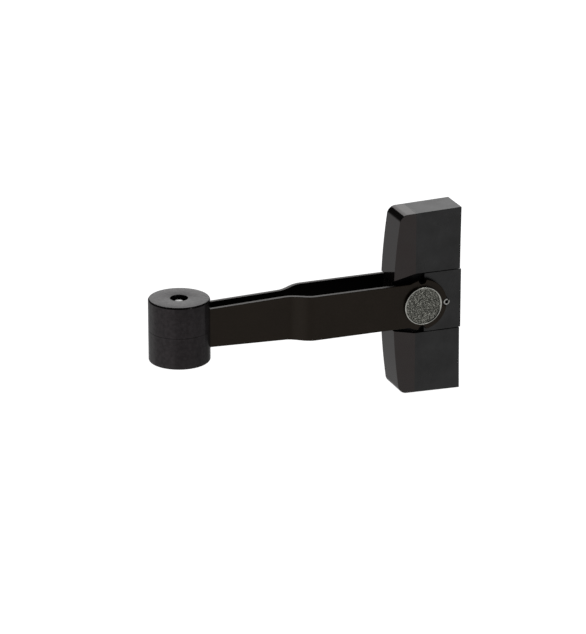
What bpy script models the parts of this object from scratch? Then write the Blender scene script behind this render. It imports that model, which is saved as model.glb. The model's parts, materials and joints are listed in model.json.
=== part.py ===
"""Shutter dog holdback: a bent strap fork with a two-piece buffer at one end and a turning dog at the other.

Metres, +Z up. X runs from the buffer to the dog, Y across the fork, Z up. The origin is the middle of the
object's box. The dog turns about the pivot rivet, whose axis runs along Y, and clicks at -90, 0 and 90 degrees,
where a sprung cross pin drops into notches in the two ears of the fork.
"""

import math

import bmesh
import bpy

# Fit
GAP = 0.0003  # between two pieces that touch on the real object
FINE = 0.00001  # merge distance for meshes this small

# Overall
SPAN = 0.1100  # buffer axis to pivot
BUFFER_R = 0.0135
BUFFER_TOP = 0.0141
BUFFER_BOTTOM = -0.0143
DOG_BACK = 0.0195  # pivot to the back face of the detent slide
DOG_HALF_HEIGHT = 0.0425
LENGTH = BUFFER_R + SPAN + DOG_BACK
PIVOT_X = LENGTH / 2 - DOG_BACK
BUFFER_X = PIVOT_X - SPAN

# Fork: one strip of steel bent back on itself round the buffer's screw
STRAP = 0.0020
WIDE_OUTER = 0.0103  # half the width over the ears
NARROW_OUTER = 0.0053
STRAP_TOP = 0.0102
STRAP_TOP_AT_EYE = 0.0090
STRAP_BOTTOM = -0.01005
STRAP_BOTTOM_AT_EYE = -0.0086
TAPER_START = 0.0550  # distances back from the pivot
TAPER_END = 0.0965
JOGGLE_WIDE_END = 0.0503
JOGGLE_NARROW_END = 0.0627
EAR_R = 0.0118
PIVOT_HOLE_R = 0.0043

# Detent
DETENT_PIN_R = 0.0016
DETENT_PIN_BORE_R = 0.00075
DETENT_PIN_SLIT = 0.0005
DETENT_PIN_X = 0.0116  # pivot to pin, with the pin in a notch
NOTCH_R = 0.0018
SLIDE_HALF_HEIGHT = 0.0136
SLIDE_BLOCK_X = 0.0093
SLIDE_CHEEK = 0.0023
SLIDE_CHEEK_X = 0.0020
SLIDE_CHEEK_R = 0.0096
SLIDE_EDGE = 0.0004

# Guide screws and their springs
GUIDE_Z = 0.0086
GUIDE_HEAD_R = 0.0026
GUIDE_HEAD_X = (0.0169, 0.0186)
GUIDE_HEAD_EDGE = 0.0003
GUIDE_SLOT_HALF_WIDTH = 0.0004
GUIDE_SLOT_DEPTH = 0.0006
GUIDE_SHANK_R = 0.0015
GUIDE_THREAD_R = 0.0012
GUIDE_THREAD_END = 0.0042
COUNTERBORE_R = 0.0029
COUNTERBORE_FLOOR = 0.0130
GUIDE_BORE_END = 0.0030  # clear of the block, inside the web room
SPRING_R = 0.00215
SPRING_WIRE_R = 0.000175
SPRING_TURNS = 2.5

# Dog
DOG_HALF_WIDTH = 0.0076
DOG_FRONT = -0.0127  # front face at pivot height
DOG_FRONT_AT_TIPS = -0.0101
DOG_CORNER_R = 0.0041
DOG_HALF_HEIGHT_AT_FRONT = 0.0418
DOG_BACK_AT_TIPS = 0.01935
DOG_BACK_HOLLOW = 0.0190
DOG_EDGE = 0.0004
WEB_HALF_WIDTH = 0.0050
WEB_BACK = 0.0090
RECESS_HALF_HEIGHT = 0.0139
RECESS_HALF_HEIGHT_AT_FRONT = 0.0116
RECESS_KNEE_X = -0.0022  # where the recess reaches its full height
WEB_BORE_R = 0.0053

# Pivot
RIVET_R = 0.0040
RIVET_HEAD_R = 0.00875
RIVET_HEAD_BASE = 0.0106
RIVET_HEAD_FLOOR = 0.0114
RIVET_HEAD_RIM = 0.0118
RIVET_RIM_WIDTH = 0.0007
TAIL_WASHER_R = 0.0080
TAIL_WASHER_TOP = 0.0114
TAIL_R = 0.0058
TAIL_BASE = 0.0117
TAIL_TOP = 0.0129
BUSH_R = (0.0043, 0.0050)
BUSH_HALF_LENGTH = 0.00485
THRUST_R = (0.0053, 0.0092)
THRUST_Y = (0.0053, 0.0080)

# Buffer and its clamp screw
BUFFER_EDGE = 0.0008
PARTING = 0.00015  # half the parting gap
CAVITY_HALF_WIDTH = 0.0056
CAVITY_TOP = 0.0093
CAVITY_BOTTOM = -0.0089
TOP_HOLE_R = 0.0038
NUT_FLATS = 0.0070
NUT_POCKET_FLATS = 0.0076
NUT_Z = (0.0095, 0.0119)
NUT_POCKET_TOP = 0.0122
SCREW_R = 0.0020
SCREW_TOP = 0.0129
SCREW_EDGE = 0.0004
SCREW_HEAD_R = 0.0036
DRIVE_FLATS = 0.0025
DRIVE_DEPTH = 0.0006
SCREW_HEAD_Z = (-0.0140, -0.0120)
WASHER_R = (0.0023, 0.0041)
WASHER_Z = (-0.0117, -0.0110)
HEAD_POCKET_R = 0.0044
HEAD_POCKET_TOP = -0.0107
SLEEVE_R = (0.0023, 0.0029)
SLEEVE_Z = (-0.0086, 0.0090)

ROUND = 48  # sides of a large round
SMALL_ROUND = 24
REACH = 0.030  # how far a cutter passes through what it cuts

STEEL_BLACK = ((0.020, 0.019, 0.017), 0.38, 0.0)
PLASTIC_BLACK = ((0.026, 0.026, 0.026), 0.45, 0.0)
RUBBER_BLACK = ((0.022, 0.022, 0.022), 0.55, 0.0)
ZINC = ((0.62, 0.62, 0.60), 0.30, 1.0)
DARK_ZINC = ((0.10, 0.10, 0.11), 0.42, 1.0)
BRONZE = ((0.42, 0.27, 0.12), 0.40, 1.0)
NYLON = ((0.16, 0.17, 0.20), 0.50, 0.0)


def clear_scene():
    for thing in list(bpy.data.objects):
        bpy.data.objects.remove(thing, do_unlink=True)


def collection(name):
    made = bpy.data.collections.new(name)
    bpy.context.scene.collection.children.link(made)
    return made


clear_scene()
PARTS = collection("shutter_dog_holdback")
CUTTERS = collection("cutters")


def material(name, finish):
    colour, roughness, metallic = finish
    made = bpy.data.materials.new(name)
    made.use_nodes = True
    shader = made.node_tree.nodes["Principled BSDF"]
    shader.inputs["Base Color"].default_value = (*colour, 1.0)
    shader.inputs["Roughness"].default_value = roughness
    shader.inputs["Metallic"].default_value = metallic
    return made


def finished(thing, finish, parent=None):
    """Gives a piece its own material, smooth rounds, its collection and its parent."""
    thing.data.materials.append(material(thing.name, finish))
    thing.data.shade_smooth()
    thing.data.set_sharp_from_angle(angle=math.radians(35))
    PARTS.objects.link(thing)
    thing.parent = parent
    return thing


def cutter(thing):
    CUTTERS.objects.link(thing)
    thing.hide_render = True
    thing.display_type = "WIRE"
    return thing


def combine(thing, operation, *tools):
    for tool in tools:
        step = thing.modifiers.new(f"{operation.lower()} {tool.name}", "BOOLEAN")
        step.operation = operation
        step.object = tool
        step.solver = "EXACT"
    return thing


def arc(centre, radius, start, end, count):
    """Points on an arc from one angle to another, in degrees, both ends included."""
    turns = [math.radians(start + (end - start) * i / count) for i in range(count + 1)]
    return [(centre[0] + radius * math.cos(t), centre[1] + radius * math.sin(t)) for t in turns]


def plate(name, outline, half_thickness, upright=False):
    """A flat outline made solid. Lying, its points are (x, y); upright, they are (x, z)."""
    data = bpy.data.curves.new(name, "CURVE")
    data.dimensions = "2D"
    data.fill_mode = "BOTH"
    data.extrude = half_thickness
    line = data.splines.new("POLY")
    line.points.add(len(outline) - 1)
    for point, (x, y) in zip(line.points, outline):
        point.co = (x, y, 0.0, 1.0)
    line.use_cyclic_u = True
    guide = bpy.data.objects.new(f"{name}_curve", data)
    bpy.context.scene.collection.objects.link(guide)
    bpy.context.view_layer.update()
    mesh = bpy.data.meshes.new_from_object(guide.evaluated_get(bpy.context.evaluated_depsgraph_get()))
    bpy.data.objects.remove(guide, do_unlink=True)
    shape = bmesh.new()
    shape.from_mesh(mesh)
    bmesh.ops.remove_doubles(shape, verts=shape.verts, dist=FINE)
    bmesh.ops.dissolve_limit(shape, angle_limit=math.radians(0.5), verts=shape.verts, edges=shape.edges)
    bmesh.ops.recalc_face_normals(shape, faces=shape.faces)
    shape.to_mesh(mesh)
    shape.free()
    thing = bpy.data.objects.new(name, mesh)
    if upright:
        thing.rotation_euler = (math.radians(90), 0.0, 0.0)
    return thing


def turned(name, profile, sides, ring=False):
    """A turned piece about local Z. The profile's (radius, height) points run down its outer side."""
    count = len(profile)
    edges = [(i, i + 1) for i in range(count - 1)] + ([(count - 1, 0)] if ring else [])
    mesh = bpy.data.meshes.new(name)
    mesh.from_pydata([(r, 0.0, z) for r, z in profile], edges, [])
    thing = bpy.data.objects.new(name, mesh)
    screw = thing.modifiers.new("turn", "SCREW")
    screw.steps = screw.render_steps = sides
    screw.use_merge_vertices = True
    screw.merge_threshold = FINE
    return thing


def solid_mesh(thing):
    """Applies the modifiers so far, so that shading and later cuts work on the real mesh."""
    CUTTERS.objects.link(thing)
    bpy.context.view_layer.update()
    mesh = bpy.data.meshes.new_from_object(thing.evaluated_get(bpy.context.evaluated_depsgraph_get()))
    CUTTERS.objects.unlink(thing)
    thing.modifiers.clear()
    thing.data = mesh
    return thing


def rod(name, radius, bottom, top, sides=SMALL_ROUND):
    return solid_mesh(turned(name, [(0, top), (radius, top), (radius, bottom), (0, bottom)], sides))


def tube(name, inner, outer, bottom, top, sides=SMALL_ROUND):
    profile = [(outer, top), (outer, bottom), (inner, bottom), (inner, top)]
    return solid_mesh(turned(name, profile, sides, ring=True))


def block(name, low, high):
    """A box between two corners."""
    mesh = bpy.data.meshes.new(name)
    shape = bmesh.new()
    bmesh.ops.create_cube(shape, size=1.0)
    size = [b - a for a, b in zip(low, high)]
    middle = [(a + b) / 2 for a, b in zip(low, high)]
    bmesh.ops.scale(shape, vec=size, verts=shape.verts)
    bmesh.ops.translate(shape, vec=middle, verts=shape.verts)
    shape.to_mesh(mesh)
    shape.free()
    return bpy.data.objects.new(name, mesh)


def soften(thing, width, segments=2, angle=30):
    edge = thing.modifiers.new("edge", "BEVEL")
    edge.width = width
    edge.segments = segments
    edge.limit_method = "ANGLE"
    edge.angle_limit = math.radians(angle)
    return thing


def along_y(thing, near=True):
    """Lays a turned piece along Y at its parent, its local top towards the near side or the far side."""
    thing.rotation_euler = (math.radians(90 if near else -90), 0.0, 0.0)
    return thing


def along_x(thing, z):
    """Lays a turned piece along X, its local top towards the back of the dog."""
    thing.rotation_euler = (0.0, math.radians(90), 0.0)
    thing.location = (0.0, 0.0, z)
    return thing


def joint(name, x, parent=None):
    made = bpy.data.objects.new(name, None)
    made.location = (x, 0.0, 0.0)
    made.empty_display_size = 0.01
    made.parent = parent
    PARTS.objects.link(made)
    return made


def under(parent, *tools):
    for tool in tools:
        tool.parent = parent
    return tools


# Fork


def strap_centre_line():
    """The near half of the strap's middle line in plan, from the ear to the eye's side, as (x, y)."""
    wide = WIDE_OUTER - STRAP / 2
    narrow = NARROW_OUTER - STRAP / 2
    start, end = PIVOT_X - JOGGLE_WIDE_END, PIVOT_X - JOGGLE_NARROW_END
    count = 10
    bend = [
        (start + (end - start) * i / count, -(wide + (narrow - wide) * (1 - math.cos(math.pi * i / count)) / 2))
        for i in range(count + 1)
    ]
    return [(PIVOT_X + EAR_R + STRAP, -wide), *bend, (BUFFER_X, -narrow)]


def offset(line, distance):
    """A line moved sideways by a distance, square to its own direction at each point."""
    moved = []
    for i, (x, y) in enumerate(line):
        ax, ay = line[max(i - 1, 0)]
        bx, by = line[min(i + 1, len(line) - 1)]
        length = math.hypot(bx - ax, by - ay)
        moved.append((x - distance * (by - ay) / length, y + distance * (bx - ax) / length))
    return moved


def strap_plan():
    """The strip seen from above: two arms joined by the round eye."""
    near = strap_centre_line()
    eye = arc((BUFFER_X, 0.0), NARROW_OUTER - STRAP / 2, 270, 90, 16)[1:-1]
    far = [(x, -y) for x, y in reversed(near)]
    line = near + eye + far
    return offset(line, STRAP / 2) + list(reversed(offset(line, -STRAP / 2)))


def notch(angle):
    """A round notch in the ear's rim at an angle, as points in counter-clockwise order."""
    reach = (EAR_R**2 + DETENT_PIN_X**2 - NOTCH_R**2) / (2 * EAR_R * DETENT_PIN_X)
    half = math.degrees(math.acos(reach))
    turn = math.radians(angle)
    centre = (DETENT_PIN_X * math.cos(turn), DETENT_PIN_X * math.sin(turn))
    opening = math.degrees(math.acos((EAR_R * math.cos(math.radians(half)) - DETENT_PIN_X) / NOTCH_R))
    return half, arc(centre, NOTCH_R, angle + 360 - opening, angle + opening, 10)


def strap_side():
    """The strip seen from the side: a tapered arm ending in a round ear with three notches."""
    meet_low = 180 - math.degrees(math.asin(STRAP_BOTTOM / EAR_R))
    meet_high = 180 - math.degrees(math.asin(STRAP_TOP / EAR_R))
    rim = []
    start = meet_low
    for angle in (270, 360, 450):
        half, dip = notch(angle)
        rim += arc((0, 0), EAR_R, start, angle - half, 8)
        rim += dip[1:-1]
        start = angle + half
    rim += arc((0, 0), EAR_R, start, 360 + meet_high, 4)
    left = -SPAN - 2 * NARROW_OUTER
    points = [(left, STRAP_BOTTOM_AT_EYE), (-TAPER_END, STRAP_BOTTOM_AT_EYE), (-TAPER_START, STRAP_BOTTOM)]
    points += rim + [(-TAPER_START, STRAP_TOP), (-TAPER_END, STRAP_TOP_AT_EYE), (left, STRAP_TOP_AT_EYE)]
    return [(PIVOT_X + x, z) for x, z in points]


def fork_strap():
    fork = plate("fork_strap", strap_plan(), EAR_R + STRAP)
    side = cutter(plate("strap_side", strap_side(), REACH, upright=True))
    hole = cutter(along_y(rod("pivot_hole", PIVOT_HOLE_R, -REACH, REACH)))
    hole.location = (PIVOT_X, 0.0, 0.0)
    combine(fork, "INTERSECT", side)
    combine(fork, "DIFFERENCE", hole)
    return finished(fork, STEEL_BLACK)


# Buffer


def hexagon(flats):
    radius = flats / math.sqrt(3)
    return [(x + BUFFER_X, y) for x, y in arc((0, 0), radius, 0, 300, 5)]


def fork_cavity():
    """The room inside the buffer for the eye of the fork, open towards the dog."""
    half = CAVITY_HALF_WIDTH
    ends = arc((BUFFER_X, 0.0), half, 90, 270, 16)
    outline = ends + [(BUFFER_X + REACH, -half), (BUFFER_X + REACH, half)]
    room = cutter(plate("fork_cavity", outline, (CAVITY_TOP - CAVITY_BOTTOM) / 2))
    room.location = (0.0, 0.0, (CAVITY_TOP + CAVITY_BOTTOM) / 2)
    return room


def buffer_halves():
    edge = BUFFER_EDGE
    room = fork_cavity()
    upper = turned("buffer_upper", [
        (TOP_HOLE_R, BUFFER_TOP), (BUFFER_R - edge, BUFFER_TOP),
        (BUFFER_R - 0.3 * edge, BUFFER_TOP - 0.3 * edge), (BUFFER_R, BUFFER_TOP - edge),
        (BUFFER_R, PARTING), (TOP_HOLE_R, PARTING),
    ], ROUND, ring=True)
    lower = turned("buffer_lower", [
        (WASHER_R[0], -PARTING), (BUFFER_R, -PARTING), (BUFFER_R, BUFFER_BOTTOM + edge),
        (BUFFER_R - 0.3 * edge, BUFFER_BOTTOM + 0.3 * edge), (BUFFER_R - edge, BUFFER_BOTTOM),
        (HEAD_POCKET_R, BUFFER_BOTTOM), (HEAD_POCKET_R, HEAD_POCKET_TOP), (WASHER_R[0], HEAD_POCKET_TOP),
    ], ROUND, ring=True)
    depth = NUT_POCKET_TOP - CAVITY_TOP + GAP
    pocket = cutter(plate("nut_pocket", hexagon(NUT_POCKET_FLATS), depth / 2))
    pocket.location = (0.0, 0.0, NUT_POCKET_TOP - depth / 2)
    for half, tools in ((upper, (room, pocket)), (lower, (room,))):
        solid_mesh(half).location = (BUFFER_X, 0.0, 0.0)
        combine(half, "DIFFERENCE", *tools)
        finished(half, RUBBER_BLACK)


def clamp_screw():
    low, high = SCREW_HEAD_Z
    edge = SCREW_EDGE
    screw = solid_mesh(turned("clamp_screw", [
        (0, SCREW_TOP), (SCREW_R - edge, SCREW_TOP), (SCREW_R, SCREW_TOP - edge), (SCREW_R, high),
        (SCREW_HEAD_R, high), (SCREW_HEAD_R, low + 2 * edge), (SCREW_HEAD_R - 2 * edge, low), (0, low),
    ], SMALL_ROUND))
    screw.location = (BUFFER_X, 0.0, 0.0)
    drive = cutter(plate("screw_drive", hexagon(DRIVE_FLATS), DRIVE_DEPTH))
    drive.location = (0.0, 0.0, low)
    combine(screw, "DIFFERENCE", drive)
    finished(screw, ZINC)


def clamp_washer():
    washer = tube("clamp_washer", *WASHER_R, *WASHER_Z)
    washer.location = (BUFFER_X, 0.0, 0.0)
    finished(washer, DARK_ZINC)


def eye_sleeve():
    sleeve = tube("eye_sleeve", *SLEEVE_R, *SLEEVE_Z)
    sleeve.location = (BUFFER_X, 0.0, 0.0)
    finished(sleeve, ZINC)


def clamp_nut():
    low, high = NUT_Z
    nut = plate("clamp_nut", hexagon(NUT_FLATS), (high - low) / 2)
    nut.location = (0.0, 0.0, (high + low) / 2)
    bore = cutter(rod("nut_bore", SCREW_R + GAP, -REACH, REACH))
    bore.location = (BUFFER_X, 0.0, 0.0)
    combine(nut, "DIFFERENCE", bore)
    finished(nut, DARK_ZINC)


# Pivot


def pivot_rivet(pivot):
    """Near head with a raised rim, the shank, and the closed tail on the far side."""
    head, rim = RIVET_HEAD_R, RIVET_RIM_WIDTH
    rivet = solid_mesh(turned("pivot_rivet", [
        (0, RIVET_HEAD_FLOOR), (head - 1.7 * rim, RIVET_HEAD_FLOOR), (head - rim, RIVET_HEAD_RIM),
        (head - 0.5 * rim, RIVET_HEAD_RIM), (head, RIVET_HEAD_RIM - 0.5 * rim), (head, RIVET_HEAD_BASE),
        (RIVET_R, RIVET_HEAD_BASE), (RIVET_R, -TAIL_BASE), (TAIL_R, -TAIL_BASE),
        (0.9 * TAIL_R, -(TAIL_BASE + TAIL_TOP) / 2), (0.55 * TAIL_R, -TAIL_TOP), (0, -TAIL_TOP),
    ], ROUND))
    finished(along_y(rivet), ZINC, pivot)


def tail_washer(pivot):
    washer = tube("tail_washer", RIVET_R + GAP, TAIL_WASHER_R, RIVET_HEAD_BASE, TAIL_WASHER_TOP, ROUND)
    finished(along_y(washer, near=False), DARK_ZINC, pivot)


def pivot_bush(turn):
    bush = tube("pivot_bush", *BUSH_R, -BUSH_HALF_LENGTH, BUSH_HALF_LENGTH)
    finished(along_y(bush), BRONZE, turn)


def thrust_washers(turn):
    for side in ("near", "far"):
        washer = tube(f"thrust_washer_{side}", *THRUST_R, *THRUST_Y, ROUND)
        finished(along_y(washer, side == "near"), NYLON, turn)


# Dog


def dog_outline():
    """The dog from the side: a bowed front, two rounded front corners and a slightly hollow back, as (x, z)."""
    tip, corner = DOG_HALF_HEIGHT_AT_FRONT, DOG_CORNER_R
    rise = DOG_FRONT_AT_TIPS - DOG_FRONT
    reach = tip - corner
    bow = (reach**2 + rise**2) / (2 * rise)
    sweep = math.degrees(math.asin(reach / bow))
    slant = math.degrees(math.atan((DOG_HALF_HEIGHT - tip) / (DOG_BACK_AT_TIPS - DOG_FRONT_AT_TIPS - corner)))
    front = arc((DOG_FRONT + bow, 0.0), bow, 180 - sweep, 180 + sweep, 16)
    low_corner = arc((DOG_FRONT_AT_TIPS + corner, -reach), corner, 180 + sweep, 270 - slant, 6)[1:]
    count = 12
    back = []
    for i in range(count + 1):
        share = -1 + 2 * i / count
        hollow = (DOG_BACK_AT_TIPS - DOG_BACK_HOLLOW) * (1 - share**2)
        back.append((DOG_BACK_AT_TIPS - hollow, share * DOG_HALF_HEIGHT))
    high_corner = [(x, -z) for x, z in reversed(low_corner)]
    return front + low_corner + back + high_corner


def recess(name, side):
    """The shallow pocket in one side of the dog, for the ear's washer and the slide's cheek."""
    tall, low = RECESS_HALF_HEIGHT, RECESS_HALF_HEIGHT_AT_FRONT
    left, knee = DOG_FRONT - REACH, RECESS_KNEE_X
    low = tall - (tall - low) * (knee - left) / (knee - DOG_FRONT)
    outline = [(left, -low), (knee, -tall), (REACH, -tall), (REACH, tall), (knee, tall), (left, low)]
    depth = DOG_HALF_WIDTH - WEB_HALF_WIDTH + GAP
    pocket = cutter(plate(name, outline, depth / 2, upright=True))
    pocket.location = (0.0, side * (WEB_HALF_WIDTH + depth / 2), 0.0)
    return pocket


def dog_body(turn):
    dog = plate("dog_body", dog_outline(), DOG_HALF_WIDTH, upright=True)
    soften(dog, DOG_EDGE, angle=40)
    tools = under(
        turn,
        recess("near_recess", -1),
        recess("far_recess", 1),
        cutter(block("slide_room", (WEB_BACK, -REACH, -RECESS_HALF_HEIGHT), (REACH, REACH, RECESS_HALF_HEIGHT))),
        cutter(along_y(rod("web_bore", WEB_BORE_R, -REACH, REACH))),
        *(
            cutter(along_x(rod(f"thread_hole_{i}", GUIDE_THREAD_R + GAP, GUIDE_THREAD_END - GAP, REACH), z))
            for i, z in enumerate((GUIDE_Z, -GUIDE_Z))
        ),
    )
    combine(dog, "DIFFERENCE", *tools)
    finished(dog, PLASTIC_BLACK, turn)


# Detent


def slide_outline():
    """The detent slide from the side, with a round cut-out that clears the thrust washers, as (x, z)."""
    tall = SLIDE_HALF_HEIGHT
    opening = math.degrees(math.acos(SLIDE_CHEEK_X / SLIDE_CHEEK_R))
    back = DOG_BACK
    cut = arc((0, 0), SLIDE_CHEEK_R, -opening, opening, 16)
    return list(reversed([(SLIDE_CHEEK_X, -tall), *cut, (SLIDE_CHEEK_X, tall), (back, tall), (back, -tall)]))


def detent_slide(slide):
    piece = plate("detent_slide", slide_outline(), DOG_HALF_WIDTH, upright=True)
    soften(piece, SLIDE_EDGE, angle=60)
    inner = DOG_HALF_WIDTH - SLIDE_CHEEK
    tools = [
        cutter(block("web_room", (-REACH, -inner, -REACH), (SLIDE_BLOCK_X, inner, REACH))),
        cutter(along_y(rod("pin_bore", DETENT_PIN_R + GAP / 2, -REACH, REACH))),
    ]
    tools[1].location = (DETENT_PIN_X, 0.0, 0.0)
    for i, z in enumerate((GUIDE_Z, -GUIDE_Z)):
        bore = solid_mesh(turned(f"guide_bore_{i}", [
            (0, REACH), (COUNTERBORE_R, REACH), (COUNTERBORE_R, COUNTERBORE_FLOOR),
            (GUIDE_SHANK_R + GAP, COUNTERBORE_FLOOR), (GUIDE_SHANK_R + GAP, GUIDE_BORE_END), (0, GUIDE_BORE_END),
        ], SMALL_ROUND))
        tools.append(cutter(along_x(bore, z)))
    combine(piece, "DIFFERENCE", *under(slide, *tools))
    finished(piece, PLASTIC_BLACK, slide)


def detent_pin(slide):
    """A slotted spring pin across the dog, long enough to lie in the notches of both ears."""
    pin = tube("detent_pin", DETENT_PIN_BORE_R, DETENT_PIN_R, -WIDE_OUTER, WIDE_OUTER)
    pin.location = (DETENT_PIN_X, 0.0, 0.0)
    half = DETENT_PIN_SLIT / 2
    slit = cutter(block("pin_slit", (0.0, -half, -REACH), (REACH, half, REACH)))
    slit.location = (DETENT_PIN_X, 0.0, 0.0)
    slit.rotation_euler = (math.radians(90), math.radians(-45), 0.0)
    slit.parent = slide
    combine(along_y(pin), "DIFFERENCE", slit)
    finished(pin, ZINC, slide)


def guide_screws(turn):
    """Shoulder screws that hold the slide to the web and carry the detent springs."""
    for side, z in (("upper", GUIDE_Z), ("lower", -GUIDE_Z)):
        base, top = GUIDE_HEAD_X
        edge = GUIDE_HEAD_EDGE
        screw = solid_mesh(turned(f"guide_screw_{side}", [
            (0, top), (GUIDE_HEAD_R - edge, top), (GUIDE_HEAD_R, top - edge), (GUIDE_HEAD_R, base),
            (GUIDE_SHANK_R, base), (GUIDE_SHANK_R, WEB_BACK + GAP),
            (GUIDE_THREAD_R, WEB_BACK + GAP), (GUIDE_THREAD_R, GUIDE_THREAD_END), (0, GUIDE_THREAD_END),
        ], SMALL_ROUND))
        along_x(screw, z)
        half, deep = GUIDE_SLOT_HALF_WIDTH, GUIDE_SLOT_DEPTH
        slot = cutter(block(f"screw_slot_{side}", (-half, -REACH, -deep), (half, REACH, deep)))
        slot.rotation_euler = (0.0, math.radians(90), 0.0)
        slot.location = (top, 0.0, z)
        slot.parent = turn
        combine(screw, "DIFFERENCE", slot)
        finished(screw, ZINC, turn)


def detent_springs(turn):
    """Compression springs between the screw heads and the floors of the slide's counterbores."""
    start = COUNTERBORE_FLOOR + GAP + SPRING_WIRE_R
    end = GUIDE_HEAD_X[0] - GAP - SPRING_WIRE_R
    steps = int(14 * SPRING_TURNS)
    for side, z in (("upper", GUIDE_Z), ("lower", -GUIDE_Z)):
        data = bpy.data.curves.new(f"detent_spring_{side}", "CURVE")
        data.dimensions = "3D"
        data.bevel_depth = SPRING_WIRE_R
        data.bevel_resolution = 2
        data.use_fill_caps = True
        wire = data.splines.new("POLY")
        wire.points.add(steps)
        for i, point in enumerate(wire.points):
            turn_angle = 2 * math.pi * SPRING_TURNS * i / steps
            along = start + (end - start) * i / steps
            point.co = (along, SPRING_R * math.cos(turn_angle), z + SPRING_R * math.sin(turn_angle), 1.0)
        spring = bpy.data.objects.new(data.name, data)
        data.materials.append(material(spring.name, ZINC))
        PARTS.objects.link(spring)
        spring.parent = turn


def build():
    fork_strap()
    buffer_halves()
    clamp_screw()
    clamp_washer()
    eye_sleeve()
    clamp_nut()
    pivot = joint("pivot_axis", PIVOT_X)
    pivot_rivet(pivot)
    tail_washer(pivot)
    turn = joint("dog_turn_axis", PIVOT_X)
    pivot_bush(turn)
    thrust_washers(turn)
    dog_body(turn)
    guide_screws(turn)
    detent_springs(turn)
    slide = joint("detent_slide_axis", 0.0, turn)
    detent_slide(slide)
    detent_pin(slide)


build()
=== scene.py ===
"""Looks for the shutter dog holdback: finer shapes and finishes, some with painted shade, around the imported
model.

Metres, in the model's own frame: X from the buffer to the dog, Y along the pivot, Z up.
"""

import json
import math

import bmesh
import bpy
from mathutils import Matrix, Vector, noise


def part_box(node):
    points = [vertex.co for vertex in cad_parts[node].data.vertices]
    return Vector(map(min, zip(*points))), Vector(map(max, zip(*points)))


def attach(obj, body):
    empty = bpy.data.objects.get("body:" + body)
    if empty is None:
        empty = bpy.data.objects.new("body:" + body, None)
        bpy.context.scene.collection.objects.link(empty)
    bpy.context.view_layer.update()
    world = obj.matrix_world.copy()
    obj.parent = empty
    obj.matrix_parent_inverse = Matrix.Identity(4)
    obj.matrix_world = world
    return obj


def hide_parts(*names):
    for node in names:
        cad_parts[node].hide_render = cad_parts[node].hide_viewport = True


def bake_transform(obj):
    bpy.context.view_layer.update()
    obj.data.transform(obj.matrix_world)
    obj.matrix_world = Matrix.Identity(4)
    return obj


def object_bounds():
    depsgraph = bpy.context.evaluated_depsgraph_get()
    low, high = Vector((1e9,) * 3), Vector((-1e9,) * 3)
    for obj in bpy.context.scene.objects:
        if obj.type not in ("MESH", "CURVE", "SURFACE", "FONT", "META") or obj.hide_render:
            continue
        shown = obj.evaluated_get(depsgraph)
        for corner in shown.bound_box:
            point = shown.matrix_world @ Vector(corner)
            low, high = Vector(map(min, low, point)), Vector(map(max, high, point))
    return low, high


MM = 0.001
FINE = 0.01 * MM  # how close two points are before they are made one
REACH = 40 * MM  # how far a cutter passes through what it cuts

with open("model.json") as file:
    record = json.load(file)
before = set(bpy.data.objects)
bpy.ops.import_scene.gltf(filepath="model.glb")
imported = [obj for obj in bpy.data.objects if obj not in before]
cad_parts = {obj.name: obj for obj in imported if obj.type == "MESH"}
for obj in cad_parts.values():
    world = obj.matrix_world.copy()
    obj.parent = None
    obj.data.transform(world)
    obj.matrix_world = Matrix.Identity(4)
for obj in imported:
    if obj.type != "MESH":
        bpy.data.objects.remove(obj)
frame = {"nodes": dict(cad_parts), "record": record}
CAD_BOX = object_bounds()


def span(node):
    """A node's lowest and highest corner at rest."""
    low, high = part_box(node)
    return Vector(low), Vector(high)


# Places and sizes read from the model
JOINTS = frame["record"]["behaviour"]["joints"]
PIVOT = Vector(next(joint["pos_m"] for joint in JOINTS if joint["name"] == "dog_turn"))
UPPER_LOW, UPPER_HIGH = span("buffer_upper")
LOWER_LOW = span("buffer_lower")[0]
FORK_HIGH = span("fork_strap")[1]
DOG_HIGH = span("dog_body")[1]
SLIDE_HIGH = span("detent_slide")[1]
PIN_LOW, PIN_HIGH = span("detent_pin")
RIVET_LOW, RIVET_HIGH = span("pivot_rivet")
WASHER_LOW, WASHER_HIGH = span("tail_washer")
SCREW_LOW, SCREW_HIGH = span("clamp_screw")
NUT_LOW, NUT_HIGH = span("clamp_nut")

BUFFER_R = (UPPER_HIGH.y - UPPER_LOW.y) / 2
BUFFER_X = (UPPER_HIGH.x + UPPER_LOW.x) / 2
BUFFER_TOP, BUFFER_BOTTOM = UPPER_HIGH.z, LOWER_LOW.z
DOG_HALF_WIDTH = DOG_HIGH.y
DOG_HALF_HEIGHT = DOG_HIGH.z
WIDE_OUTER = FORK_HIGH.y
EAR_R = FORK_HIGH.x - PIVOT.x
PIN_X = (PIN_LOW.x + PIN_HIGH.x) / 2 - PIVOT.x
PIN_R = (PIN_HIGH.z - PIN_LOW.z) / 2

# Details that the boxes don't give
STRAP = 2.0 * MM
NARROW_OUTER = 5.3 * MM
STRAP_TOP, STRAP_BOTTOM = 10.2 * MM, -10.05 * MM
EYE_TOP, EYE_BOTTOM = 9.0 * MM, -8.6 * MM
TAPER = (55.0 * MM, 96.5 * MM)  # start and end, measured back from the pivot
JOGGLE = (50.3 * MM, 62.7 * MM)  # measured the same way
NOTCH_R = 1.8 * MM
PIVOT_HOLE_R = 4.3 * MM
STRAP_EDGE = 0.3 * MM
RECESS_TALL, RECESS_AT_FRONT, RECESS_KNEE = 13.9 * MM, 11.6 * MM, -2.2 * MM
WEB_HALF_WIDTH, WEB_BACK, WEB_BORE_R = 5.0 * MM, 9.0 * MM, 5.3 * MM
DOG_FRONT, DOG_FRONT_AT_TIPS = -12.7 * MM, -10.1 * MM
DOG_BACK_AT_TIPS, DOG_BACK_HOLLOW = 19.35 * MM, 19.0 * MM
DOG_HALF_HEIGHT_AT_FRONT = 41.8 * MM
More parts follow.
